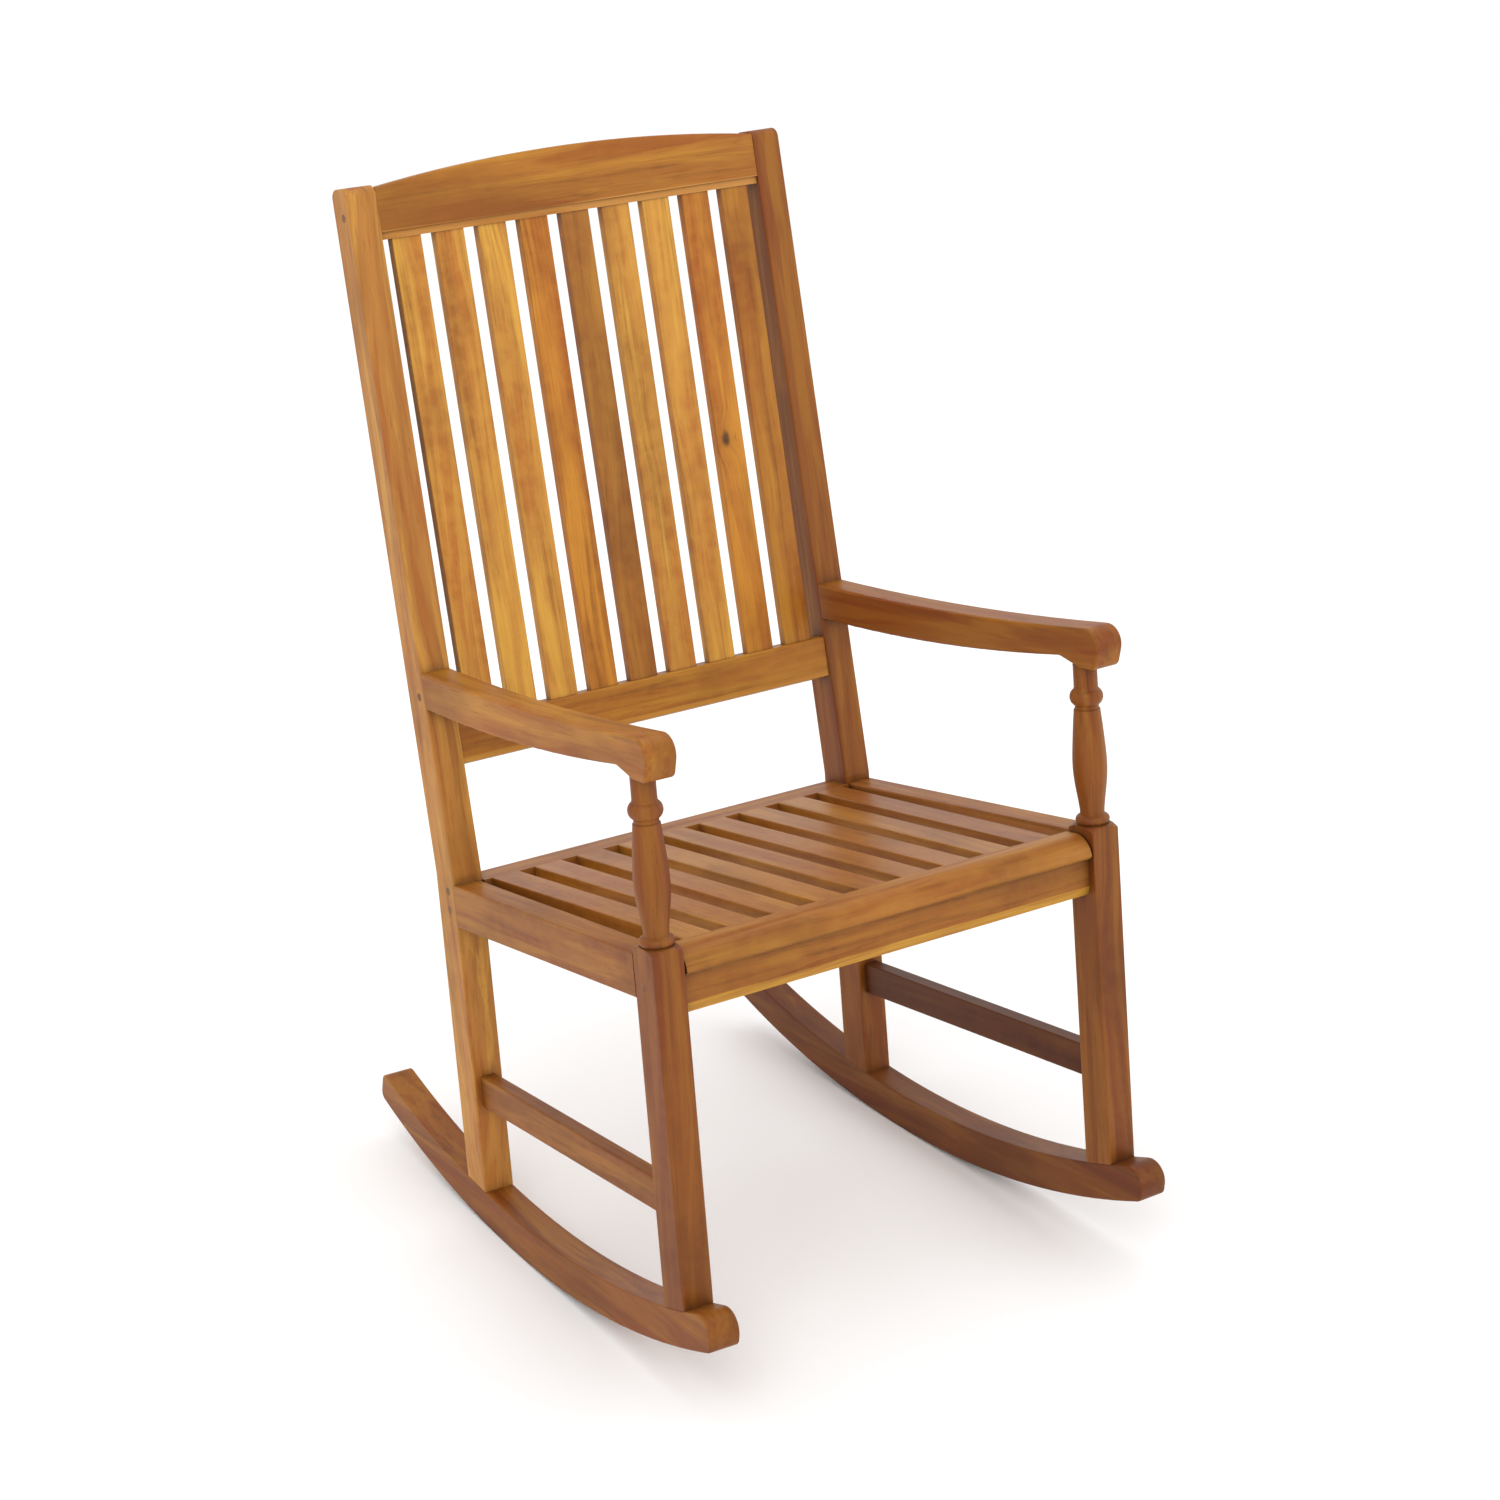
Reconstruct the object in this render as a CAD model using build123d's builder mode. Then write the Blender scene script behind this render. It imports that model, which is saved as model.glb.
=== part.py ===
from build123d import *
import math
import os

# Slatted wooden rocking chair.  Millimetres, Z up, the sitter faces -Y.
# Everything is drawn in the chair's own frame: X across, Y to the rear, Z along
# the legs, with the front bottom corner of the rear legs at Y = 0, Z = 0.
# The finished pieces are then leaned back by REST_LEAN onto the floor.

# ---- overall -------------------------------------------------------------
REST_LEAN = 7.9          # degrees the legs lean back when the chair stands still
STOCK = 35.0             # thickness of the side-frame members, across the chair
LEG_DEPTH = 41.0         # front-to-back size of the square leg stock
SEAT_HALF = 238.0        # half the clear width between the rear legs
SPLAY = 2.04             # degrees each side frame opens towards the front
ARRIS = 2.0              # rounding of the long edges
SLAT_ARRIS = 1.2         # rounding of the slats' long edges
SLAT_COUNT = 9           # slats in the back, and again in the seat

# ---- rockers -------------------------------------------------------------
ROCKER_LOW_R = 1035.0    # radius of the running edge
ROCKER_LOW_Y = -190.1
ROCKER_LOW_Z = 975.6
ROCKER_TOP_R = 1104.0    # radius of the upper edge, flatter, so the ends taper
ROCKER_TOP_Y = -191.0
ROCKER_TOP_Z = 1088.0
ROCKER_FRONT_TOP = -487.0
ROCKER_FRONT_LOW = -478.0
ROCKER_REAR_TOP = 243.0
ROCKER_REAR_LOW = 254.0
ROCKER_NOSE_R = 20.0     # upper rounding of the front end
ROCKER_CHIN_R = 9.0      # lower rounding of the front end
ROCKER_TAIL_R = 10.0     # roundings of the rear end

# ---- rear legs and back ---------------------------------------------------
KNEE_FRONT = (0.0, 361.0)     # where the rear leg bends back
KNEE_REAR = (41.0, 361.0)
POST_RISE = 734.6              # from the knee to the top, along the back
POST_TOP_DEPTH = 35.0
POST_TOP_R = 10.0
BACK_LEAN = 6.92               # degrees between upper and lower rear leg
RAIL_THICK = 22.0
APRON_THICK = 20.0
CREST_LOW = 676.9              # heights on the back, measured from the knee
CREST_END_TOP = 731.0
CREST_MID_TOP = 747.6
CREST_RECESS = 1.5
LOWER_LOW = 117.3
LOWER_TOP = 164.2
LOWER_RECESS = 2.5
BAND_HIGH = 8.0                # bevel along the lower front edge of a rail
BAND_DEEP = 2.5
REBATE_DEEP = 3.0              # step along the lower front edge of the crest rail
BACK_SLAT_W = 34.5
BACK_SLAT_T = 11.0
BACK_PITCH = 51.2
BACK_SLAT_RECESS = 6.0
SLAT_HOUSING = 12.0            # how deep a slat end sits in its rail

# ---- front legs -----------------------------------------------------------
FRONT_LEG_Y = -432.5           # front face of the front legs
FRONT_LEG_AXIS = FRONT_LEG_Y + LEG_DEPTH / 2
SHOULDER_LOW = 379.0
SHOULDER_TOP = 386.5
CORNER_R = 27.5                # just outside the corners of the square stock
RING_R = 17.6
NECK_TOP = 559.0
TENON_R = 10.0
TENON_TOP = 580.5

# ---- seat -----------------------------------------------------------------
SEAT_SLOPE = 3.5               # degrees the seat rises towards the front
SEAT_TOP = 353.6               # height of the seat surface at Y = 0
SIDE_RAIL_DEEP = 47.0
SIDE_RAIL_INSET = 4.0          # the rails are thinner than the legs, flush outside
CROSSBAR_FRONT = -5.0
CROSSBAR_DEEP = 39.0
CROSSBAR_HIGH = 45.0
BOARD_REAR = FRONT_LEG_Y + LEG_DEPTH
BOARD_FRONT = FRONT_LEG_Y + 1.0
BOARD_THICK = 25.0
BOARD_NOSE_R = 23.0
BOARD_GAP = 2.5                # clearance of the board's ends at the legs
APRON_FRONT = FRONT_LEG_Y + 11.0
APRON_LOW = 313.0
SEAT_PITCH = 53.0
SEAT_SLAT_W = 34.0
SEAT_SLAT_T = 16.0
TONGUE_T = 7.0
TONGUE_L = 12.0

# ---- arms and stretchers ----------------------------------------------------
ARM_NOSE = -459.5
ARM_NOSE_R = 19.0        # upper rounding of the arm's front end
ARM_CHIN_R = 9.0         # lower rounding of the arm's front end
ARM_COVE_R = 20.0        # easing of the step behind the pad over the leg
ARM_ARRIS = 3.0          # rounding of the arm's edges
STRETCHER_T = 18.0
STRETCHER_LOW = 98.0
STRETCHER_TOP = 134.0

# ---- joinery ----------------------------------------------------------------
PEG_R = 4.5
PEG_LONG = 27.0
FOOT_TENON_L = 26.0
FOOT_TENON_W = 14.0
FOOT_TENON_DEEP = 24.0   # how far a leg's tenon stands in the rocker
SCREW_R = 2.5
SCREW_HEAD_R = 4.5
SCREW_HEAD_T = 3.5
PLUG_LONG = 7.0
SCREW_LONG = 62.0
REACH = 300.0            # half length of a cross member before it is trimmed

cos_splay = math.cos(math.radians(SPLAY))
sin_splay = math.sin(math.radians(SPLAY))
cos_back = math.cos(math.radians(BACK_LEAN))
sin_back = math.sin(math.radians(BACK_LEAN))
cos_seat = math.cos(math.radians(SEAT_SLOPE))
sin_seat = math.sin(math.radians(SEAT_SLOPE))

# Inner face of the right side frame: local X runs to the rear along the frame,
# local Y is up, the normal points away from the seat.
SIDE = Plane(
    origin=(SEAT_HALF, 0, 0),
    x_dir=(-sin_splay, cos_splay, 0),
    z_dir=(cos_splay, sin_splay, 0),
)
OTHER_SIDE = Plane(
    origin=(-SEAT_HALF, 0, 0),
    x_dir=(sin_splay, cos_splay, 0),
    z_dir=(-cos_splay, sin_splay, 0),
)
# Front plane of the back: local Y climbs from the knee, the normal faces forward.
BACK = Plane(
    origin=(0, KNEE_FRONT[0], KNEE_FRONT[1]),
    x_dir=(1, 0, 0),
    z_dir=(0, -cos_back, sin_back),
)
# Seat surface: local Y runs to the rear, the normal points up.
SEAT = Plane(
    origin=(0, 0, SEAT_TOP),
    x_dir=(1, 0, 0),
    z_dir=(0, sin_seat, cos_seat),
)


def rocker_top(y):
    """Height of the rocker's upper edge at a distance y along the frame."""
    return ROCKER_TOP_Z - math.sqrt(ROCKER_TOP_R**2 - (y - ROCKER_TOP_Y) ** 2)


def rocker_low(y):
    """Height of the rocker's running edge at a distance y along the frame."""
    return ROCKER_LOW_Z - math.sqrt(ROCKER_LOW_R**2 - (y - ROCKER_LOW_Y) ** 2)


def running_edge(turn):
    """Point of the running edge that is lowest when the chair leans back by turn."""
    t = math.radians(turn)
    y = ROCKER_LOW_Y + ROCKER_LOW_R * math.sin(t)
    return (y, ROCKER_LOW_Z - ROCKER_LOW_R * math.cos(t))


def seat_height(y):
    """Height of the seat surface at y."""
    return SEAT_TOP - y * math.tan(math.radians(SEAT_SLOPE))


def inner_x(y):
    """Half the clear width between the side frames at y."""
    return SEAT_HALF - y * math.tan(math.radians(SPLAY))


def post_front(z):
    """Front face of the upper rear leg at height z."""
    return KNEE_FRONT[0] + (z - KNEE_FRONT[1]) * math.tan(math.radians(BACK_LEAN))


def block(plane, centre, size):
    """Plain rectangular block; centre and size are given in the plane's own axes."""
    with BuildPart() as piece:
        with BuildSketch(plane.offset(centre[2] - size[2] / 2)):
            with Locations((centre[0], centre[1])):
                Rectangle(size[0], size[1])
        extrude(amount=size[2])
    return piece.part


def pin(plane, at, start, length, radius):
    """Round pin along the plane's normal, beginning at the given offset."""
    with BuildPart() as piece:
        with BuildSketch(plane.offset(start)):
            with Locations(at):
                Circle(radius)
        extrude(amount=length)
    return piece.part


# ---- joinery shared by the two pieces of a joint -----------------------------
MID = STOCK / 2
side_rail_rear_tenon = block(SIDE, (4.0, 331.0, MID), (36.0, 30.0, 12.0))
side_rail_front_tenon = block(SIDE, (BOARD_REAR - 4.0, 352.0, MID), (32.0, 30.0, 12.0))
stretcher_rear_tenon = block(SIDE, (0.0, 116.0, MID), (28.0, 24.0, 10.0))
stretcher_front_tenon = block(SIDE, (BOARD_REAR, 116.0, MID), (28.0, 24.0, 10.0))
arm_tenon = block(SIDE, (30.0, 562.0, MID), (36.0, 24.0, 12.0))
crest_tenon = block(BACK, (inner_x(95.0), 704.0, -13.0), (36.0, 34.0, 12.0))
lower_tenon = block(BACK, (inner_x(20.0), 142.0, -14.0), (30.0, 30.0, 12.0))
crossbar_tenon = block(Plane.XY, (inner_x(28.0), 28.0, 330.0), (26.0, 9.0, 28.0))
apron_tenon = block(
    Plane.XY, (inner_x(-410.0), APRON_FRONT + APRON_THICK / 2, 333.0), (20.0, 12.0, 26.0)
)
board_tenon = block(
    Plane.XY, (inner_x(-412.0), BOARD_REAR - 20.0, 365.5), (20.0, 20.0, 10.0)
)
crest_rebate = block(
    BACK,
    (0, CREST_LOW + BAND_HIGH / 2, -CREST_RECESS - REBATE_DEEP / 2),
    (2 * REACH, BAND_HIGH, REBATE_DEEP),
)
crest_tenon_left = mirror(crest_tenon, about=Plane.YZ)
lower_tenon_left = mirror(lower_tenon, about=Plane.YZ)
crossbar_tenon_left = mirror(crossbar_tenon, about=Plane.YZ)
apron_tenon_left = mirror(apron_tenon, about=Plane.YZ)
board_tenon_left = mirror(board_tenon, about=Plane.YZ)

PEG_SPOTS = [
    (15.0, 344.0),
    (15.0, 323.0),
    (FRONT_LEG_AXIS + 2.0, 346.0),
    (36.0, 556.0),
]
CREST_SPOT_RISE = 704.0
crest_screw_at = (
    KNEE_FRONT[0] + CREST_SPOT_RISE * sin_back + 13.0 * cos_back,
    KNEE_FRONT[1] + CREST_SPOT_RISE * cos_back - 13.0 * sin_back,
)


def frame_pegs():
    """Pegs of the right frame, let in from the outer face across the tenons."""
    with BuildPart() as pegs:
        with BuildSketch(SIDE.offset(STOCK)):
            with Locations(*PEG_SPOTS):
                Circle(PEG_R)
        extrude(amount=-PEG_LONG)
    return pegs.part


def crest_screw():
    """Countersunk screw through the right post into the end of the crest rail."""
    head = STOCK - PLUG_LONG
    with BuildPart() as screw:
        with BuildSketch(SIDE.offset(head)):
            with Locations(crest_screw_at):
                Circle(SCREW_HEAD_R)
        extrude(amount=-SCREW_HEAD_T)
        with BuildSketch(SIDE.offset(head)):
            with Locations(crest_screw_at):
                Circle(SCREW_R)
        extrude(amount=-SCREW_LONG)
    return screw.part


def foot_tenon(y):
    """Tenon at the foot of a leg, let into the top of the rocker."""
    size = (FOOT_TENON_L, FOOT_TENON_DEEP + 20.0, FOOT_TENON_W)
    return block(SIDE, (y, rocker_top(y) + 20.0 - size[1] / 2, MID), size)


rear_foot_tenon = foot_tenon(LEG_DEPTH / 2)
front_foot_tenon = foot_tenon(FRONT_LEG_AXIS)
pegs_right = frame_pegs()
screw_right = crest_screw()
screw_left = mirror(screw_right, about=Plane.YZ)
plug_right = pin(SIDE, crest_screw_at, STOCK - PLUG_LONG, PLUG_LONG, PEG_R)
leg_tenon = pin(
    Plane(origin=SIDE.from_local_coords((FRONT_LEG_AXIS, 0, MID))),
    (0, 0),
    NECK_TOP - 6.0,
    TENON_TOP - NECK_TOP + 6.0,
    TENON_R,
)


# ---- side frame ---------------------------------------------------------------
def make_rear_leg():
    """Rear leg: straight to the seat, then leaning back and tapering to the top."""
    top_front = (
        KNEE_FRONT[0] + POST_RISE * sin_back,
        KNEE_FRONT[1] + POST_RISE * cos_back,
    )
    top_rear = (
        top_front[0] + POST_TOP_DEPTH * cos_back,
        top_front[1] - POST_TOP_DEPTH * sin_back,
    )
    foot_front = (0.0, rocker_top(0.0))
    foot_rear = (LEG_DEPTH, rocker_top(LEG_DEPTH))
    foot_mid = (LEG_DEPTH / 2, rocker_top(LEG_DEPTH / 2))
    with BuildPart() as leg:
        with BuildSketch(SIDE):
            with BuildLine():
                Polyline(foot_front, KNEE_FRONT, top_front, top_rear, KNEE_REAR, foot_rear)
                ThreePointArc(foot_rear, foot_mid, foot_front)
            make_face()
        extrude(amount=STOCK)
        across = leg.edges().filter_by(Axis((0, 0, 0), SIDE.z_dir))
        fillet(across.sort_by(Axis.Z)[-2:], POST_TOP_R)
        flanks = leg.faces().filter_by(Axis((0, 0, 0), SIDE.z_dir)).edges()
        long_edges = flanks.filter_by(lambda e: e.center().Z > rocker_top(LEG_DEPTH) + 20)
        fillet(long_edges, ARRIS)
        add(side_rail_rear_tenon, mode=Mode.SUBTRACT)
        add(stretcher_rear_tenon, mode=Mode.SUBTRACT)
        add(arm_tenon, mode=Mode.SUBTRACT)
        add(crest_tenon, mode=Mode.SUBTRACT)
        add(lower_tenon, mode=Mode.SUBTRACT)
        add(crossbar_tenon, mode=Mode.SUBTRACT)
        add(pegs_right, mode=Mode.SUBTRACT)
        add(screw_right, mode=Mode.SUBTRACT)
        add(plug_right, mode=Mode.SUBTRACT)
        add(rear_foot_tenon)
    return leg.part


def make_front_leg():
    """Front leg: square below the seat, turned baluster up to the arm."""
    y0 = FRONT_LEG_Y
    y1 = FRONT_LEG_Y + LEG_DEPTH
    foot_mid = (FRONT_LEG_AXIS, rocker_top(FRONT_LEG_AXIS))
    axis = Axis(SIDE.from_local_coords((FRONT_LEG_AXIS, 0, MID)), (0, 0, 1))
    c = FRONT_LEG_AXIS
    # turned shoulder that rounds off the corners of the square
    with BuildPart() as shoulder:
        with BuildSketch(SIDE.offset(MID)):
            with BuildLine():
                Polyline(
                    (c, SHOULDER_TOP), (c, -60), (c + CORNER_R, -60), (c + CORNER_R, SHOULDER_LOW)
                )
                Spline(
                    (c + CORNER_R, SHOULDER_LOW),
                    (c + 22.6, SHOULDER_LOW + 5.2),
                    (c + RING_R, SHOULDER_TOP),
                    tangents=[(-0.35, 1.0), (-1.0, 0.15)],
                )
                Line((c + RING_R, SHOULDER_TOP), (c, SHOULDER_TOP))
            make_face()
        revolve(axis=axis)
    # ring, vase, bead and neck
    with BuildPart() as baluster:
        with BuildSketch(SIDE.offset(MID)):
            with BuildLine():
                Line((c, SHOULDER_TOP - 1), (c + RING_R - 1.5, SHOULDER_TOP - 1))
                Line((c + RING_R - 1.5, SHOULDER_TOP - 1), (c + RING_R - 1.5, SHOULDER_TOP + 0.6))
                ThreePointArc(
                    (c + RING_R - 1.5, SHOULDER_TOP + 0.6),
                    (c + RING_R + 0.4, SHOULDER_TOP + 4.6),
                    (c + RING_R - 3.0, SHOULDER_TOP + 9.4),
                )
                Line((c + RING_R - 3.0, SHOULDER_TOP + 9.4), (c + 13.0, SHOULDER_TOP + 10.4))
                Spline(
                    (c + 13.0, SHOULDER_TOP + 10.4),
                    (c + 13.2, 404.0),
                    (c + 16.0, 424.0),
                    (c + 18.2, 450.0),
                    (c + 17.0, 475.0),
                    (c + 13.9, 510.5),
                    tangents=[(-0.15, 1.0), (-0.1, 1.0)],
                )
                Polyline((c + 13.9, 510.5), (c + 12.6, 511.5), (c + 12.6, 514.5), (c + 13.3, 515.5))
                ThreePointArc((c + 13.3, 515.5), (c + 17.6, 523.8), (c + 13.5, 532.0))
                Line((c + 13.5, 532.0), (c + 12.7, 534.0))
                Line((c + 12.7, 534.0), (c + 12.6, NECK_TOP + 5.0))
                Line((c + 12.6, NECK_TOP + 5.0), (c, NECK_TOP + 5.0))
                Line((c, NECK_TOP + 5.0), (c, SHOULDER_TOP - 1))
            make_face()
        revolve(axis=axis)
    arm_underside = block(SIDE, (c, NECK_TOP + 20.0, MID), (80.0, 40.0, 60.0))
    with BuildPart() as leg:
        with BuildSketch(SIDE):
            with BuildLine():
                Polyline(
                    (y0, rocker_top(y0)), (y0, SHOULDER_TOP), (y1, SHOULDER_TOP), (y1, rocker_top(y1))
                )
                ThreePointArc((y1, rocker_top(y1)), foot_mid, (y0, rocker_top(y0)))
            make_face()
        extrude(amount=STOCK)
        fillet(leg.edges().filter_by(Axis.Z), ARRIS)
        add(shoulder.part, mode=Mode.INTERSECT)
        add(baluster.part)
        add(arm_underside, mode=Mode.SUBTRACT)
        add(leg_tenon)
        add(side_rail_front_tenon, mode=Mode.SUBTRACT)
        add(stretcher_front_tenon, mode=Mode.SUBTRACT)
        add(apron_tenon, mode=Mode.SUBTRACT)
        add(board_tenon, mode=Mode.SUBTRACT)
        add(pegs_right, mode=Mode.SUBTRACT)
        add(front_foot_tenon)
    return leg.part


def make_arm():
    """Armrest: dips behind the elbow, with a rounded nose and a pad over the leg."""
    rear_top = (post_front(583.6), 583.6)
    rear_low = (post_front(544.2), 544.2)
    nose_top = (ARM_NOSE - 1.5, 605.4)
    nose_low = (ARM_NOSE + 13.0, NECK_TOP)
    pad_rear = (-422.0, NECK_TOP)
    cove = (-391.0, 567.6)
    with BuildPart() as arm:
        with BuildSketch(SIDE):
            with BuildLine():
                ThreePointArc(rear_top, (-200.0, 586.8), nose_top)
                Polyline(nose_top, nose_low, pad_rear, cove)
                ThreePointArc(cove, (-210.0, 549.4), rear_low)
                Line(rear_low, rear_top)
            make_face()
            for corner, radius in (
                (nose_top, ARM_NOSE_R),
                (nose_low, ARM_CHIN_R),
                (pad_rear, ARM_COVE_R),
                (cove, ARM_COVE_R),
            ):
                spot = (corner[0], corner[1], 0)
                fillet(vertices().sort_by_distance(spot)[0], radius)
        extrude(amount=STOCK)
        flanks = arm.faces().filter_by(Axis((0, 0, 0), SIDE.z_dir)).edges()
        fillet(flanks.filter_by(lambda e: e.center().Y < 0), ARM_ARRIS)
        add(arm_tenon)
        add(leg_tenon, mode=Mode.SUBTRACT)
        add(pegs_right, mode=Mode.SUBTRACT)
    return arm.part


def make_side_rail():
    """Side rail of the seat, its top edge level with the slats."""
    rear_top = (0.0, seat_height(0.0))
    rear_low = (0.0, seat_height(0.0) - SIDE_RAIL_DEEP)
    front_top = (BOARD_REAR, seat_height(BOARD_REAR))
    front_low = (BOARD_REAR, seat_height(BOARD_REAR) - SIDE_RAIL_DEEP)
    with BuildPart() as rail:
        with BuildSketch(SIDE.offset(SIDE_RAIL_INSET)):
            with BuildLine():
                Polyline(rear_top, front_top, front_low, rear_low, close=True)
            make_face()
        extrude(amount=STOCK - SIDE_RAIL_INSET)
        flanks = rail.faces().filter_by(Axis((0, 0, 0), SIDE.z_dir)).edges()
        fillet(flanks.filter_by(lambda e: e.length > 200), ARRIS)
        add(side_rail_rear_tenon)
        add(side_rail_front_tenon)
        add(pegs_right, mode=Mode.SUBTRACT)
    return rail.part


def make_stretcher():
    """Low stretcher between front and rear leg, centred in the frame's thickness."""
    with BuildPart() as stretcher:
        with BuildSketch(SIDE.offset(MID - STRETCHER_T / 2)):
            with BuildLine():
                Polyline(
                    (0.0, STRETCHER_LOW),
                    (0.0, STRETCHER_TOP),
                    (BOARD_REAR, STRETCHER_TOP),
                    (BOARD_REAR, STRETCHER_LOW),
                    close=True,
                )
            make_face()
        extrude(amount=STRETCHER_T)
        flanks = stretcher.faces().filter_by(Axis((0, 0, 0), SIDE.z_dir)).edges()
        fillet(flanks.filter_by(lambda e: e.length > 200), ARRIS)
        add(stretcher_rear_tenon)
        add(stretcher_front_tenon)
    return stretcher.part


def make_rocker():
    """Curved rocker, tapering slightly to its rounded ends."""
    mid = ROCKER_TOP_Y
    front_low = (ROCKER_FRONT_LOW, rocker_low(ROCKER_FRONT_LOW))
    front_top = (ROCKER_FRONT_TOP, rocker_top(ROCKER_FRONT_TOP))
    rear_low = (ROCKER_REAR_LOW, rocker_low(ROCKER_REAR_LOW))
    rear_top = (ROCKER_REAR_TOP, rocker_top(ROCKER_REAR_TOP))
    with BuildPart() as rocker:
        with BuildSketch(SIDE):
            with BuildLine():
                ThreePointArc(front_low, running_edge(REST_LEAN), rear_low)
                Line(rear_low, rear_top)
                ThreePointArc(rear_top, (mid, rocker_top(mid)), front_top)
                Line(front_top, front_low)
            make_face()
            for corner, radius in (
                (front_top, ROCKER_NOSE_R),
                (front_low, ROCKER_CHIN_R),
                (rear_low, ROCKER_TAIL_R),
                (rear_top, ROCKER_TAIL_R),
            ):
                spot = (corner[0], corner[1], 0)
                fillet(vertices().sort_by_distance(spot)[0], radius)
        extrude(amount=STOCK)
        flanks = rocker.faces().filter_by(Axis((0, 0, 0), SIDE.z_dir)).edges()
        fillet(flanks, ARRIS)
        add(rear_foot_tenon, mode=Mode.SUBTRACT)
        add(front_foot_tenon, mode=Mode.SUBTRACT)
    return rocker.part


def rocker_length(rocker, keep):
    """Front or rear length of a rocker, divided square to the floor at the resting point."""
    turn = math.radians(REST_LEAN)
    spot = running_edge(REST_LEAN)
    across = Plane(
        origin=SIDE.from_local_coords((spot[0], spot[1], MID)),
        z_dir=(0, math.cos(turn), math.sin(turn)),
    )
    with BuildPart() as length:
        add(rocker)
        split(bisect_by=across, keep=keep)
    return length.part


# ---- back -------------------------------------------------------------------
def back_slat_blank(x, ease):
    """One back slat, housed at both ends."""
    length = CREST_LOW - LOWER_TOP + 2 * SLAT_HOUSING
    middle = (CREST_LOW + LOWER_TOP) / 2
    with BuildPart() as slat:
        with BuildSketch(BACK.offset(-BACK_SLAT_RECESS)):
            with Locations((x, middle)):
                Rectangle(BACK_SLAT_W, length)
        extrude(amount=-BACK_SLAT_T)
        if ease:
            fillet(slat.edges().filter_by(Axis((0, 0, 0), BACK.y_dir)), SLAT_ARRIS)
    return slat.part


BACK_SLAT_X = [(i - (SLAT_COUNT - 1) / 2) * BACK_PITCH for i in range(SLAT_COUNT)]
back_slat_blanks = [back_slat_blank(x, False) for x in BACK_SLAT_X]


def make_crest_rail():
    """Crest rail: straight below, arched above, screwed between the posts."""
    with BuildPart() as rail:
        with BuildSketch(BACK.offset(-CREST_RECESS)):
            with BuildLine():
                Polyline(
                    (-SEAT_HALF, CREST_END_TOP),
                    (-REACH, CREST_END_TOP),
                    (-REACH, CREST_LOW),
                    (REACH, CREST_LOW),
                    (REACH, CREST_END_TOP),
                    (SEAT_HALF, CREST_END_TOP),
                )
                ThreePointArc(
                    (SEAT_HALF, CREST_END_TOP), (0, CREST_MID_TOP), (-SEAT_HALF, CREST_END_TOP)
                )
            make_face()
        extrude(amount=-RAIL_THICK)
        split(bisect_by=SIDE, keep=Keep.BOTTOM)
        split(bisect_by=OTHER_SIDE, keep=Keep.BOTTOM)
        add(crest_rebate, mode=Mode.SUBTRACT)
        arcs = rail.edges().filter_by(GeomType.CIRCLE)
        fillet(arcs, ARRIS)
        add(crest_tenon)
        add(crest_tenon_left)
        for blank in back_slat_blanks:
            add(blank, mode=Mode.SUBTRACT)
        add(screw_right, mode=Mode.SUBTRACT)
        add(screw_left, mode=Mode.SUBTRACT)
    return rail.part


def make_lower_rail():
    """Lower rail of the back, carrying the feet of the slats."""
    with BuildPart() as rail:
        with BuildSketch(BACK.offset(-LOWER_RECESS)):
            with Locations((0, (LOWER_LOW + LOWER_TOP) / 2)):
                Rectangle(2 * REACH, LOWER_TOP - LOWER_LOW)
        extrude(amount=-RAIL_THICK)
        split(bisect_by=SIDE, keep=Keep.BOTTOM)
        split(bisect_by=OTHER_SIDE, keep=Keep.BOTTOM)
        front_face = rail.faces().filter_by(BACK).sort_by(Axis.Y)[0]
        low_edge = front_face.edges().filter_by(Axis.X).sort_by(Axis.Z)[0]
        chamfer(low_edge, length=BAND_DEEP, length2=BAND_HIGH, reference=front_face)
        top_edges = rail.edges().filter_by(Axis.X).sort_by(Axis.Z)[-2:]
        fillet(top_edges, ARRIS)
        add(lower_tenon)
        add(lower_tenon_left)
        for blank in back_slat_blanks:
            add(blank, mode=Mode.SUBTRACT)
    return rail.part


# ---- seat --------------------------------------------------------------------
def seat_slat_tongue(x):
    """Tongue running the whole length of a seat slat into both cross members."""
    front = BOARD_REAR / cos_seat - TONGUE_L
    rear = CROSSBAR_FRONT / cos_seat + TONGUE_L
    return block(
        SEAT,
        (x, (front + rear) / 2, -SEAT_SLAT_T / 2),
        (SEAT_SLAT_W - 4.0, rear - front, TONGUE_T),
    )


SEAT_SLAT_X = [(i - (SLAT_COUNT - 1) / 2) * SEAT_PITCH for i in range(SLAT_COUNT)]
tongues = [seat_slat_tongue(x) for x in SEAT_SLAT_X]


def make_seat_slat(index):
    """Seat slat, its ends tongued into the crossbar and the front board."""
    x = SEAT_SLAT_X[index]
    with BuildPart() as slat:
        with BuildSketch(Plane.YZ.offset(x - SEAT_SLAT_W / 2)):
            with BuildLine():
                Polyline(
                    (CROSSBAR_FRONT, seat_height(CROSSBAR_FRONT)),
                    (BOARD_REAR, seat_height(BOARD_REAR)),
                    (BOARD_REAR, seat_height(BOARD_REAR) - SEAT_SLAT_T / cos_seat),
                    (CROSSBAR_FRONT, seat_height(CROSSBAR_FRONT) - SEAT_SLAT_T / cos_seat),
                    close=True,
                )
            make_face()
        extrude(amount=SEAT_SLAT_W)
        fillet(slat.edges().filter_by(Axis((0, 0, 0), SEAT.y_dir)), SLAT_ARRIS)
        add(tongues[index])
    return slat.part


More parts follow.
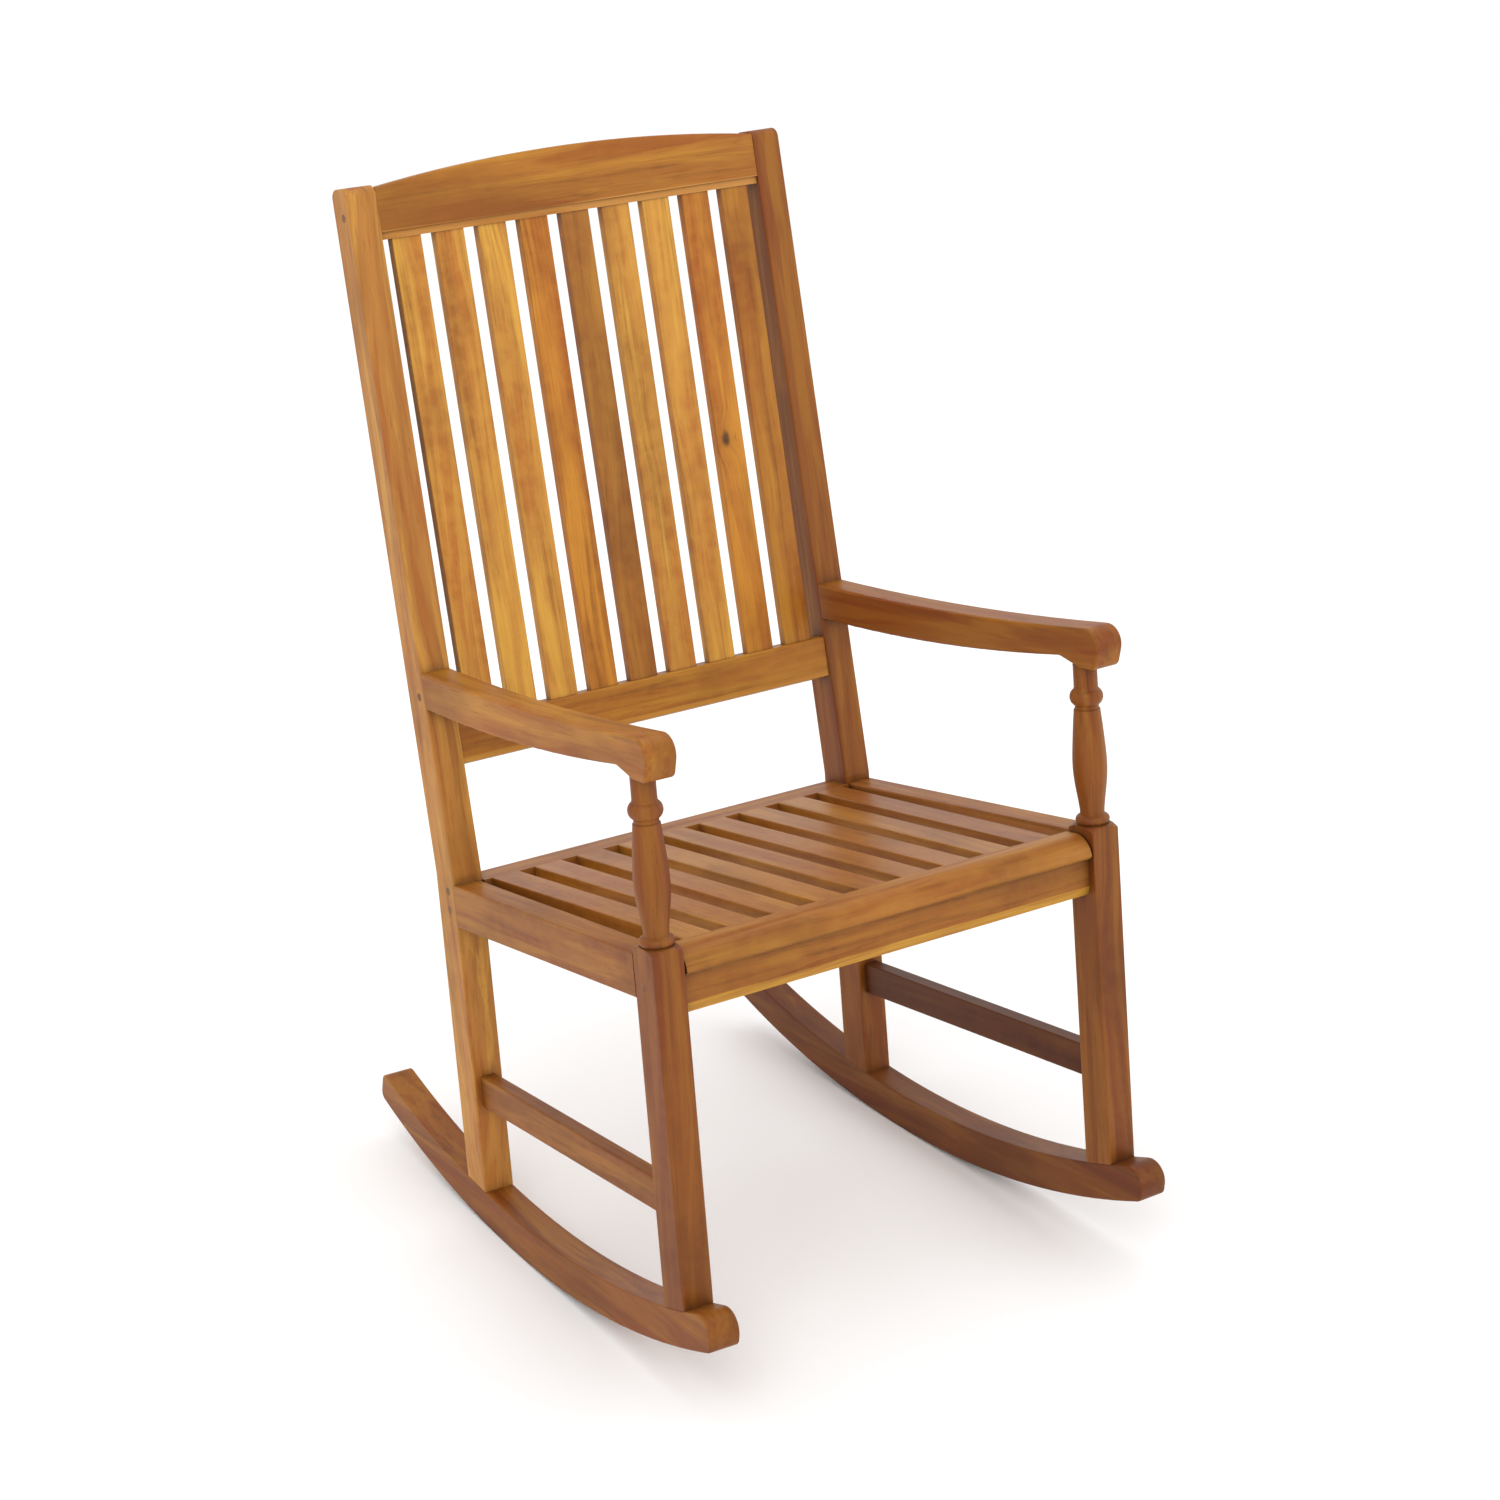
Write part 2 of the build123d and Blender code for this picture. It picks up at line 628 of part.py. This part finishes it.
def make_crossbar():
    """Rear crossbar of the seat, between the rear legs."""
    y0 = CROSSBAR_FRONT
    y1 = CROSSBAR_FRONT + CROSSBAR_DEEP
    with BuildPart() as bar:
        with BuildSketch(Plane.YZ.offset(-REACH)):
            with BuildLine():
                Polyline(
                    (y0, seat_height(y0)),
                    (y1, seat_height(y1)),
                    (y1, seat_height(y1) - CROSSBAR_HIGH),
                    (y0, seat_height(y1) - CROSSBAR_HIGH),
                    close=True,
                )
            make_face()
        extrude(amount=2 * REACH)
        split(bisect_by=SIDE, keep=Keep.BOTTOM)
        split(bisect_by=OTHER_SIDE, keep=Keep.BOTTOM)
        fillet(bar.edges().filter_by(Axis.X).sort_by(Axis.Y)[-2:], ARRIS)
        add(crossbar_tenon)
        add(crossbar_tenon_left)
        for tongue in tongues:
            add(tongue, mode=Mode.SUBTRACT)
    return bar.part


def make_front_board():
    """Front board of the seat with a full rounded nose, held between the legs."""
    top = seat_height(BOARD_FRONT + BOARD_NOSE_R)
    low = seat_height(BOARD_FRONT) - BOARD_THICK
    nose_c = (BOARD_FRONT + BOARD_NOSE_R, top - BOARD_NOSE_R)
    turn = BOARD_NOSE_R * math.sqrt(0.5)
    with BuildPart() as board:
        with BuildSketch(Plane.YZ.offset(-REACH)):
            with BuildLine():
                Polyline(
                    (nose_c[0], top),
                    (BOARD_REAR, seat_height(BOARD_REAR)),
                    (BOARD_REAR, low),
                    (BOARD_FRONT + 3.0, low),
                    (BOARD_FRONT, low + 3.0),
                )
                ThreePointArc(
                    (BOARD_FRONT, low + 3.0),
                    (nose_c[0] - turn, nose_c[1] + turn),
                    (nose_c[0], top),
                )
            make_face()
        extrude(amount=2 * REACH)
        split(bisect_by=SIDE.offset(-BOARD_GAP), keep=Keep.BOTTOM)
        split(bisect_by=OTHER_SIDE.offset(-BOARD_GAP), keep=Keep.BOTTOM)
        add(board_tenon)
        add(board_tenon_left)
        for tongue in tongues:
            add(tongue, mode=Mode.SUBTRACT)
    return board.part


def make_apron():
    """Apron under the front board, set back from the face of the legs."""
    high = seat_height(BOARD_FRONT) - BOARD_THICK
    with BuildPart() as apron:
        with BuildSketch(Plane.YZ.offset(-REACH)):
            with BuildLine():
                Polyline(
                    (APRON_FRONT, high),
                    (APRON_FRONT + APRON_THICK, high),
                    (APRON_FRONT + APRON_THICK, APRON_LOW),
                    (APRON_FRONT + BAND_DEEP, APRON_LOW),
                    (APRON_FRONT, APRON_LOW + BAND_HIGH),
                    close=True,
                )
            make_face()
        extrude(amount=2 * REACH)
        split(bisect_by=SIDE, keep=Keep.BOTTOM)
        split(bisect_by=OTHER_SIDE, keep=Keep.BOTTOM)
        add(apron_tenon)
        add(apron_tenon_left)
    return apron.part


# ---- assembly -----------------------------------------------------------------
def both(name, right):
    """The right-hand piece and its mirror image."""
    return {name + "_right": right, name + "_left": mirror(right, about=Plane.YZ)}


pieces = {}
pieces.update(both("rear_leg", make_rear_leg()))
pieces.update(both("front_leg", make_front_leg()))
pieces.update(both("arm", make_arm()))
pieces.update(both("seat_side_rail", make_side_rail()))
pieces.update(both("side_stretcher", make_stretcher()))
rocker = make_rocker()
pieces.update(both("rocker_front", rocker_length(rocker, Keep.BOTTOM)))
pieces.update(both("rocker_rear", rocker_length(rocker, Keep.TOP)))
pieces["crest_rail"] = make_crest_rail()
pieces["lower_back_rail"] = make_lower_rail()
for i in range(SLAT_COUNT):
    pieces["back_slat_" + str(i + 1)] = back_slat_blank(BACK_SLAT_X[i], True)
pieces["seat_crossbar"] = make_crossbar()
pieces["seat_front_board"] = make_front_board()
pieces["seat_front_apron"] = make_apron()
for i in range(SLAT_COUNT):
    pieces["seat_slat_" + str(i + 1)] = make_seat_slat(i)
pieces["joint_pegs"] = Compound(
    children=pegs_right.solids() + mirror(pegs_right, about=Plane.YZ).solids()
)
pieces["crest_screws"] = Compound(children=screw_right.solids() + screw_left.solids())
pieces["crest_plugs"] = Compound(
    children=plug_right.solids() + mirror(plug_right, about=Plane.YZ).solids()
)

# The chair leans back by REST_LEAN; its lowest point stands on Z = 0 and the
# origin lies under the middle of its length.
lean = Location((0, 0, 0), (-REST_LEAN, 0, 0))
leaned = {name: piece.moved(lean) for name, piece in pieces.items()}
boxes = [piece.bounding_box() for piece in leaned.values()]
low = min(box.min.Z for box in boxes)
middle = (min(box.min.Y for box in boxes) + max(box.max.Y for box in boxes)) / 2
stand = Location((0, -middle, -low))

os.makedirs("parts", exist_ok=True)
for name, piece in leaned.items():
    node = piece.moved(stand)
    node.label = name
    export_step(node, "parts/" + name + ".step")
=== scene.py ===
import math

import bpy
import numpy as np
from mathutils import Matrix, Vector


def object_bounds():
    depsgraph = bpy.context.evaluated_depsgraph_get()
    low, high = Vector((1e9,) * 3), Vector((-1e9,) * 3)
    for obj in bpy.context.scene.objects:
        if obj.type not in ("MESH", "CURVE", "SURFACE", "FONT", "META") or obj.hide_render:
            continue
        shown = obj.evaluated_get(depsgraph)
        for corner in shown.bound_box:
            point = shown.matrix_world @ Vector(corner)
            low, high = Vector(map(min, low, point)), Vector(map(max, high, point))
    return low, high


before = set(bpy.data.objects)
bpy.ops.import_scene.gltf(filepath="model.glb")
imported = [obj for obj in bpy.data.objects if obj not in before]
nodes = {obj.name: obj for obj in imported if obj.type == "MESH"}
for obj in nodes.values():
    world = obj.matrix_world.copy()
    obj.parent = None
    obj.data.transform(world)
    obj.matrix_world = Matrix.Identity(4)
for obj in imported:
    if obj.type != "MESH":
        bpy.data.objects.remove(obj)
cad_lo, cad_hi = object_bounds()
LEAN = math.radians(7.9)           # how far the chair leans back on its rockers
BACK_LEAN = math.radians(6.92)     # how much further the back leans
SMOOTH_BELOW = math.radians(28)    # edges sharper than this stay sharp

# Oiled wood: one finish for every board.
SPECULAR = 0.22
COAT = 0.02
COAT_ROUGHNESS = 0.35
PORE_COLOUR = (0.10, 0.04, 0.014)
KNOT_COLOUR = (0.045, 0.018, 0.008)
# painted shade for corners, recesses and joints: its colour and the ambient-occlusion reach that finds them
PAINTED_SHADE_COLOUR = (0.035, 0.014, 0.006)
PAINTED_SHADE_REACH = 0.022              # metres
BUMP_STRENGTH = 0.16
BUMP_DISTANCE = 0.0006             # metres
STRIP_EDGE = 0.0006                # softness of a pale strip's upper edge, metres
PEG_TONE = (0.16, 0.060, 0.018)

# Studio and camera.
WORLD_STRENGTH = 1.05
FLOOR_SIZE = 60.0
CAMERA_PLACE = (-1.904, -2.8615, 1.9393)
CAMERA_AZIMUTH = math.radians(33.68)
CAMERA_PITCH = math.radians(22.44)
CAMERA_LENS = 84.2
CAMERA_SENSOR = 36.0
CAMERA_SHIFT = (0.0013, 0.0117)


# ---- node helpers --------------------------------------------------------
class Net:
    """Small helper that adds shader nodes and links them."""

    def __init__(self, tree):
        self.tree = tree

    def put(self, kind, inputs=(), **props):
        node = self.tree.nodes.new(kind)
        for key, value in props.items():
            setattr(node, key, value)
        for key, value in dict(inputs).items():
            socket = node.inputs[key]
            if isinstance(value, bpy.types.NodeSocket):
                self.tree.links.new(value, socket)
            else:
                socket.default_value = value
        return node

    def math(self, op, a, b=0.0, c=0.0, clamp=False):
        return self.put("ShaderNodeMath", {0: a, 1: b, 2: c}, operation=op, use_clamp=clamp).outputs[0]

    def noise(self, vector, scale, detail=3.0, rough=0.5, warp=0.0):
        return self.put(
            "ShaderNodeTexNoise",
            {"Vector": vector, "Scale": scale, "Detail": detail, "Roughness": rough, "Distortion": warp},
        ).outputs["Fac"]

    def mix(self, fac, a, b, blend="MIX"):
        node = self.put("ShaderNodeMix", {0: fac, 6: a, 7: b}, data_type="RGBA", blend_type=blend)
        return node.outputs[2]

    def scale(self, vector, factors):
        node = self.put("ShaderNodeVectorMath", {0: vector, 1: factors}, operation="MULTIPLY")
        return node.outputs[0]

    def step(self, value, lo, hi):
        return self.put(
            "ShaderNodeMapRange", {0: value, 1: lo, 2: hi, 3: 0.0, 4: 1.0}, clamp=True,
            interpolation_type="SMOOTHSTEP",
        ).outputs[0]


def rgb(r, g, b):
    return (r, g, b, 1.0)


def board_axes(objs):
    """Middle of one board, made of one node or more, and the direction of its grain."""
    co = np.array([v.co[:] for obj in objs for v in obj.data.vertices])
    mid = (co.min(0) + co.max(0)) / 2
    cov = np.cov((co - co.mean(0)).T)
    vectors = np.linalg.eigh(cov)[1]
    along = vectors[:, 2]
    along = along * np.sign(along[np.abs(along).argmax()])
    return mid, along


def wood(name, objs, tone, seed, along=None, streak=0.35, sap=0.0, knots=(), gloss=0.36, band=None):
    """Oiled hardwood with its grain along one board, its own tone, pores, streaks, wear and painted shade
    in its corners and recesses.

    objs are the nodes cut from this board. knots are (along, across, deep, size) from its
    middle, in metres. band comes from low_edge().
    """
    mid, axis = board_axes(objs)
    if along is not None:
        axis = np.array(along, float)
    axis = Vector(axis).normalized()
    side = Vector((1, 0, 0)) if abs(axis.x) < 0.8 else Vector((0, 1, 0))
    third = axis.cross(side).normalized()
    side = third.cross(axis).normalized()
    rot = Matrix((axis, side, third)).to_euler("XYZ")
    mat = bpy.data.materials.new(name)
    mat.use_nodes = True
    tree = mat.node_tree
    tree.nodes.clear()
    n = Net(tree)
    co = n.put("ShaderNodeTexCoord").outputs["Object"]
    shifted = n.put("ShaderNodeVectorMath", {0: co, 1: tuple(-mid)}, operation="ADD").outputs[0]
    board = n.put("ShaderNodeMapping", {"Vector": shifted, "Rotation": rot}, vector_type="POINT").outputs[0]
    rng = np.random.default_rng(seed)
    off = tuple(float(v) for v in rng.uniform(-40, 40, 3))
    p = n.put("ShaderNodeVectorMath", {0: board, 1: off}, operation="ADD").outputs[0]
    # knots push the grain aside
    bend = None
    knot_mask = None
    for kx, ky, kz, size in knots:
        d = n.put("ShaderNodeVectorMath", {0: board, 1: (-kx, -ky, -kz)}, operation="ADD").outputs[0]
        d = n.scale(d, (0.55 / size, 1.0 / size, 0.5 / size))
        dist = n.put("ShaderNodeVectorMath", {0: d}, operation="LENGTH").outputs["Value"]
        near = n.put("ShaderNodeMapRange", {0: dist, 1: 0.0, 2: 4.0, 3: 1.0, 4: 0.0}, clamp=True,
                     interpolation_type="SMOOTHSTEP").outputs[0]
        core = n.put("ShaderNodeMapRange", {0: dist, 1: 0.6, 2: 1.35, 3: 1.0, 4: 0.0}, clamp=True,
                     interpolation_type="SMOOTHSTEP").outputs[0]
        bend = near if bend is None else n.math("MAXIMUM", bend, near)
        knot_mask = core if knot_mask is None else n.math("MAXIMUM", knot_mask, core)
    if bend is not None:
        lift = n.put("ShaderNodeCombineXYZ", {1: n.math("MULTIPLY", bend, 0.012)}).outputs[0]
        p = n.put("ShaderNodeVectorMath", {0: p, 1: lift}, operation="ADD").outputs[0]
    # slow wander of the grain along the board
    wander = n.noise(n.scale(p, (2.2, 6.0, 6.0)), 1.0, 2.0)
    wob = n.put("ShaderNodeCombineXYZ", {1: n.math("MULTIPLY_ADD", wander, 0.05, -0.025),
                                         2: n.math("MULTIPLY_ADD", wander, -0.03, 0.015)}).outputs[0]
    q = n.put("ShaderNodeVectorMath", {0: p, 1: wob}, operation="ADD").outputs[0]
    broad = n.noise(n.scale(q, (1.1, 26.0, 26.0)), 1.0, 3.0, 0.55)
    rings = n.noise(n.scale(q, (2.6, 120.0, 95.0)), 1.0, 4.0, 0.6, 0.25)
    fine = n.noise(n.scale(q, (9.0, 520.0, 520.0)), 1.0, 3.0, 0.6)
    pores = n.noise(n.scale(p, (38.0, 1500.0, 1500.0)), 1.0, 1.5, 0.5)
    cloud = n.noise(n.scale(p, (5.0, 9.0, 9.0)), 1.0, 3.0, 0.5)
    flame = n.noise(n.scale(q, (3.2, 48.0, 48.0)), 1.0, 3.0, 0.55, 0.4)
    dark, base, light, gold, red = tone
    col = n.mix(n.step(broad, 0.33, 0.66), rgb(*base), rgb(*light))
    col = n.mix(n.math("MULTIPLY", n.step(flame, 0.50, 0.62), 0.85), col, rgb(*gold))
    col = n.mix(n.math("MULTIPLY", n.step(flame, 0.48, 0.36), 0.85), col, rgb(*red))
    col = n.mix(n.math("MULTIPLY", n.step(rings, 0.50, 0.72), streak + 0.25), col, rgb(*dark))
    col = n.mix(n.math("MULTIPLY", n.step(broad, 0.60 - 0.22 * sap, 0.76 - 0.16 * sap), 0.25 + 0.6 * sap),
                col, rgb(*gold))
    col = n.mix(n.math("MULTIPLY", n.step(fine, 0.52, 0.78), 0.30), col, rgb(*dark))
    col = n.mix(n.math("MULTIPLY", n.step(cloud, 0.48, 0.68), 0.55), col,
                rgb(base[0] * 0.62, base[1] * 0.55, base[2] * 0.5))
    pore = n.step(pores, 0.63, 0.74)
    col = n.mix(n.math("MULTIPLY", pore, 0.45), col, rgb(*PORE_COLOUR))
    if knot_mask is not None:
        col = n.mix(n.math("MULTIPLY", bend, 0.35), col, rgb(*dark))
        col = n.mix(n.math("MULTIPLY", knot_mask, 0.88), col, rgb(*KNOT_COLOUR))
    if band is not None:
        lean, level, high, pale = band
        ragged = n.math("MULTIPLY_ADD", flame, 0.004, high - 0.002)
        sep = n.put("ShaderNodeSeparateXYZ", {0: co})
        rise = n.math("MULTIPLY_ADD", sep.outputs["Y"], math.sin(lean),
                      n.math("MULTIPLY", sep.outputs["Z"], math.cos(lean)))
        over = n.math("SUBTRACT", n.math("SUBTRACT", rise, level), ragged)
        strip = n.put(
            "ShaderNodeMapRange", {0: over, 1: -STRIP_EDGE, 2: STRIP_EDGE, 3: 1.0, 4: 0.0}, clamp=True,
        ).outputs[0]
        grain = n.mix(n.step(rings, 0.35, 0.75), rgb(*pale), rgb(*light))
        col = n.mix(n.math("MULTIPLY", strip, 0.85), col, grain)
    # worn arrises are a little paler (wear); corners and recesses get painted shade, darkened where ambient
    # occlusion finds them
    geo = n.put("ShaderNodeNewGeometry")
    edge = n.step(geo.outputs["Pointiness"], 0.52, 0.60)
    worn = n.math("MULTIPLY", edge, n.step(n.noise(p, 60.0, 3.0), 0.35, 0.65))
    col = n.mix(n.math("MULTIPLY", worn, 0.22), col, rgb(*gold))
    ao = n.put("ShaderNodeAmbientOcclusion", {"Distance": PAINTED_SHADE_REACH}, samples=6)
    painted_shade_mask = n.step(ao.outputs["AO"], 0.25, 0.92)
    col = n.mix(painted_shade_mask, n.mix(0.62, col, rgb(*PAINTED_SHADE_COLOUR)), col)
    rough = n.math("MULTIPLY_ADD", fine, 0.16, gloss - 0.04)
    rough = n.math("MULTIPLY_ADD", cloud, 0.10, rough)
    rough = n.math("MULTIPLY_ADD", pore, 0.18, rough, clamp=True)
    height = n.math("MULTIPLY_ADD", fine, 0.35, n.math("MULTIPLY", rings, 0.5))
    height = n.math("MULTIPLY_ADD", pore, -0.8, height)
    bump = n.put(
        "ShaderNodeBump",
        {"Height": height, "Strength": BUMP_STRENGTH, "Distance": BUMP_DISTANCE},
    ).outputs[0]
    shader = n.put("ShaderNodeBsdfPrincipled", {"Base Color": col, "Roughness": rough, "Normal": bump})
    shader.inputs["Specular IOR Level"].default_value = SPECULAR
    shader.inputs["Coat Weight"].default_value = COAT
    shader.inputs["Coat Roughness"].default_value = COAT_ROUGHNESS
    out = n.put("ShaderNodeOutputMaterial")
    tree.links.new(shader.outputs[0], out.inputs[0])
    for obj in objs:
        obj.data.materials.clear()
        obj.data.materials.append(mat)
        for poly in obj.data.polygons:
            poly.material_index = 0


def low_edge(name, lean, high, pale):
    """Lower edge of a rail, measured square to its length, and the pale sapwood strip along it."""
    co = np.array([v.co[:] for v in nodes[name].data.vertices])
    rise = co[:, 1] * math.sin(lean) + co[:, 2] * math.cos(lean)
    return (lean, float(rise.min()), high, pale)


def tone(r, g, b, spread=1.0):
    """Dark streak, base, light, golden and reddish colours around one board's own colour (linear)."""
    k = spread
    return (
        (r * (1 - 0.48 * k), g * (1 - 0.58 * k), b * (1 - 0.66 * k)),
        (r, g, b),
        (r * (1 + 0.20 * k), g * (1 + 0.24 * k), b * (1 + 0.24 * k)),
        (min(r * (1 + 0.42 * k), 0.8), g * (1 + 0.72 * k), b * (1 + 0.55 * k)),
        (r * (1 - 0.10 * k), g * (1 - 0.32 * k), b * (1 - 0.40 * k)),
    )


# Wood colours (linear), from pale to dark.
TONES = {
    "honey": (0.44, 0.19, 0.030),
    "tan": (0.37, 0.15, 0.028),
    "amber": (0.38, 0.13, 0.014),
    "cinnamon": (0.31, 0.11, 0.012),
    "chestnut": (0.28, 0.10, 0.014),
    "russet": (0.24, 0.078, 0.010),
    "teak": (0.21, 0.063, 0.006),
    "umber": (0.18, 0.051, 0.006),
    # the two darkest tones serve only right-hand pieces and are partly painted shade for the chair's shaded
    # right side
    "walnut_painted_shade": (0.14, 0.038, 0.004),
    "bog_painted_shade": (0.09, 0.022, 0.003),
}
# One colour for each slat, from the -X side.
BACK = ("honey", "honey", "honey", "amber", "chestnut", "honey", "honey", "amber", "cinnamon")
SEAT = ("cinnamon", "cinnamon", "cinnamon", "cinnamon", "chestnut", "chestnut", "chestnut", "chestnut",
        "russet")
KNOT = (-0.015, -0.0055, 0.0, 0.0055)
KNOTTED_SLAT = 7
SAPPY_SLATS = (2, 7)
for i in range(len(BACK)):
    name = "back_slat_%d" % (i + 1)
    knots = [KNOT] if i == KNOTTED_SLAT else []
    sap = 0.55 if i in SAPPY_SLATS else 0.2
    wood("wood_" + name, [nodes[name]], tone(*TONES[BACK[i]]), 11 + i, streak=0.45, sap=sap, knots=knots)
    name = "seat_slat_%d" % (i + 1)
    wood("wood_" + name, [nodes[name]], tone(*TONES[SEAT[i]], 0.8), 41 + i, streak=0.25, gloss=0.30)
wood("wood_crest", [nodes["crest_rail"]],
     tone(*TONES["cinnamon"]), 71, along=(1, 0, 0), streak=0.45, sap=0.1,
     band=low_edge("crest_rail", LEAN + BACK_LEAN, 0.009, (0.52, 0.24, 0.055)))
wood("wood_lower", [nodes["lower_back_rail"]],
     tone(*TONES["cinnamon"]), 72, along=(1, 0, 0), streak=0.4, sap=0.2,
     band=low_edge("lower_back_rail", LEAN + BACK_LEAN, 0.008, (0.50, 0.24, 0.035)))
wood("wood_apron", [nodes["seat_front_apron"]],
     tone(*TONES["russet"]), 73, along=(1, 0, 0), streak=0.4, sap=0.2,
     band=low_edge("seat_front_apron", LEAN, 0.010, (0.55, 0.29, 0.030)))
wood("wood_board", [nodes["seat_front_board"]],
     tone(*TONES["chestnut"]), 74, along=(1, 0, 0), streak=0.35)
wood("wood_crossbar", [nodes["seat_crossbar"]], tone(*TONES["russet"]), 75, along=(1, 0, 0))
# Boards that come in pairs: name, left and right colour, seed, streak. Where the right colour is darker
# than the left (rear leg, arm, side stretcher, rocker), it is partly the wood's own tone and partly painted
# shade for the chair's shaded right side.
PAIRS = (
    ("rear_leg", "tan", "teak", 81, 0.3),
    ("front_leg", "umber", "umber", 83, 0.25),
    ("arm", "cinnamon", "teak", 85, 0.3),
    ("seat_side_rail", "russet", "russet", 87, 0.3),
    ("side_stretcher", "teak", "bog_painted_shade", 89, 0.3),
    ("rocker", "teak", "walnut_painted_shade", 91, 0.25),
)
for part, left, right, seed, streak in PAIRS:
    for shift, (hand, colour) in enumerate((("_left", left), ("_right", right))):
        board = [nodes[name] for name in sorted(nodes) if name.startswith(part) and name.endswith(hand)]
        wood("wood_" + part + hand, board, tone(*TONES[colour]), seed + shift, streak=streak)
wood("wood_pegs", [nodes["joint_pegs"]], tone(*PEG_TONE), 95, along=(1, 0, 0))
wood("wood_plugs", [nodes["crest_plugs"]], tone(*PEG_TONE), 96, along=(1, 0, 0))
steel = bpy.data.materials.new("screw_steel")
steel.use_nodes = True
metal = Net(steel.node_tree)
place = metal.put("ShaderNodeTexCoord").outputs["Object"]
grey = metal.mix(metal.noise(place, 900.0), rgb(0.42, 0.42, 0.41), rgb(0.60, 0.60, 0.58))
scuff = metal.math("MULTIPLY_ADD", metal.noise(place, 300.0), 0.2, 0.3)
shader = steel.node_tree.nodes["Principled BSDF"]
metal.tree.links.new(grey, shader.inputs["Base Color"])
metal.tree.links.new(scuff, shader.inputs["Roughness"])
shader.inputs["Metallic"].default_value = 1.0
nodes["crest_screws"].data.materials.clear()
nodes["crest_screws"].data.materials.append(steel)

for obj in nodes.values():
    for poly in obj.data.polygons:
        poly.use_smooth = True
    mod = obj.modifiers.new("smooth", "EDGE_SPLIT")
    mod.split_angle = SMOOTH_BELOW

# ---- floor, light, camera ----------------------------------------------------
world = bpy.data.worlds.new("studio")
world.use_nodes = True
world.node_tree.nodes["Background"].inputs[0].default_value = (1.0, 1.0, 1.0, 1.0)
world.node_tree.nodes["Background"].inputs[1].default_value = WORLD_STRENGTH
bpy.context.scene.world = world

bpy.ops.mesh.primitive_plane_add(size=FLOOR_SIZE, location=(0, 0, 0))
floor = bpy.context.object
floor.name = "floor"
white = bpy.data.materials.new("floor_white")
white.use_nodes = True
paper = Net(white.node_tree)
mottle = paper.noise(paper.put("ShaderNodeTexCoord").outputs["Object"], 3.0)
pale = paper.mix(mottle, rgb(0.945, 0.945, 0.945), rgb(0.955, 0.955, 0.955))
shader = white.node_tree.nodes["Principled BSDF"]
paper.tree.links.new(pale, shader.inputs["Base Color"])
shader.inputs["Roughness"].default_value = 0.9
floor.data.materials.append(white)


def area(name, place, target, size, power, tint=(1, 1, 1)):
    light = bpy.data.lights.new(name, "AREA")
    light.shape = "RECTANGLE"
    light.size, light.size_y = size
    light.energy = power
    light.color = tint
    obj = bpy.data.objects.new(name, light)
    bpy.context.scene.collection.objects.link(obj)
    obj.location = place
    obj.rotation_euler = (Vector(target) - Vector(place)).to_track_quat("-Z", "Y").to_euler()
    return obj


middle = (Vector(cad_lo) + Vector(cad_hi)) / 2
area("key", (-2.4, -2.6, 3.2), middle, (2.4, 2.4), 42.0, (1.0, 0.985, 0.96))
area("fill", (2.8, -2.4, 1.9), middle, (2.6, 2.2), 14.0)
area("top", (0.3, 0.4, 3.6), middle, (3.2, 3.2), 22.0)

cam_data = bpy.data.cameras.new("camera")
cam_data.sensor_width = CAMERA_SENSOR
cam_data.lens = CAMERA_LENS
cam_data.shift_x, cam_data.shift_y = CAMERA_SHIFT
cam_data.clip_end = 200.0
camera = bpy.data.objects.new("camera", cam_data)
bpy.context.scene.collection.objects.link(camera)
forward = Vector((
    math.sin(CAMERA_AZIMUTH) * math.cos(CAMERA_PITCH),
    math.cos(CAMERA_AZIMUTH) * math.cos(CAMERA_PITCH),
    -math.sin(CAMERA_PITCH),
))
camera.location = CAMERA_PLACE
camera.rotation_euler = forward.to_track_quat("-Z", "Y").to_euler()
bpy.context.scene.camera = camera
bpy.context.scene.view_settings.view_transform = "Standard"
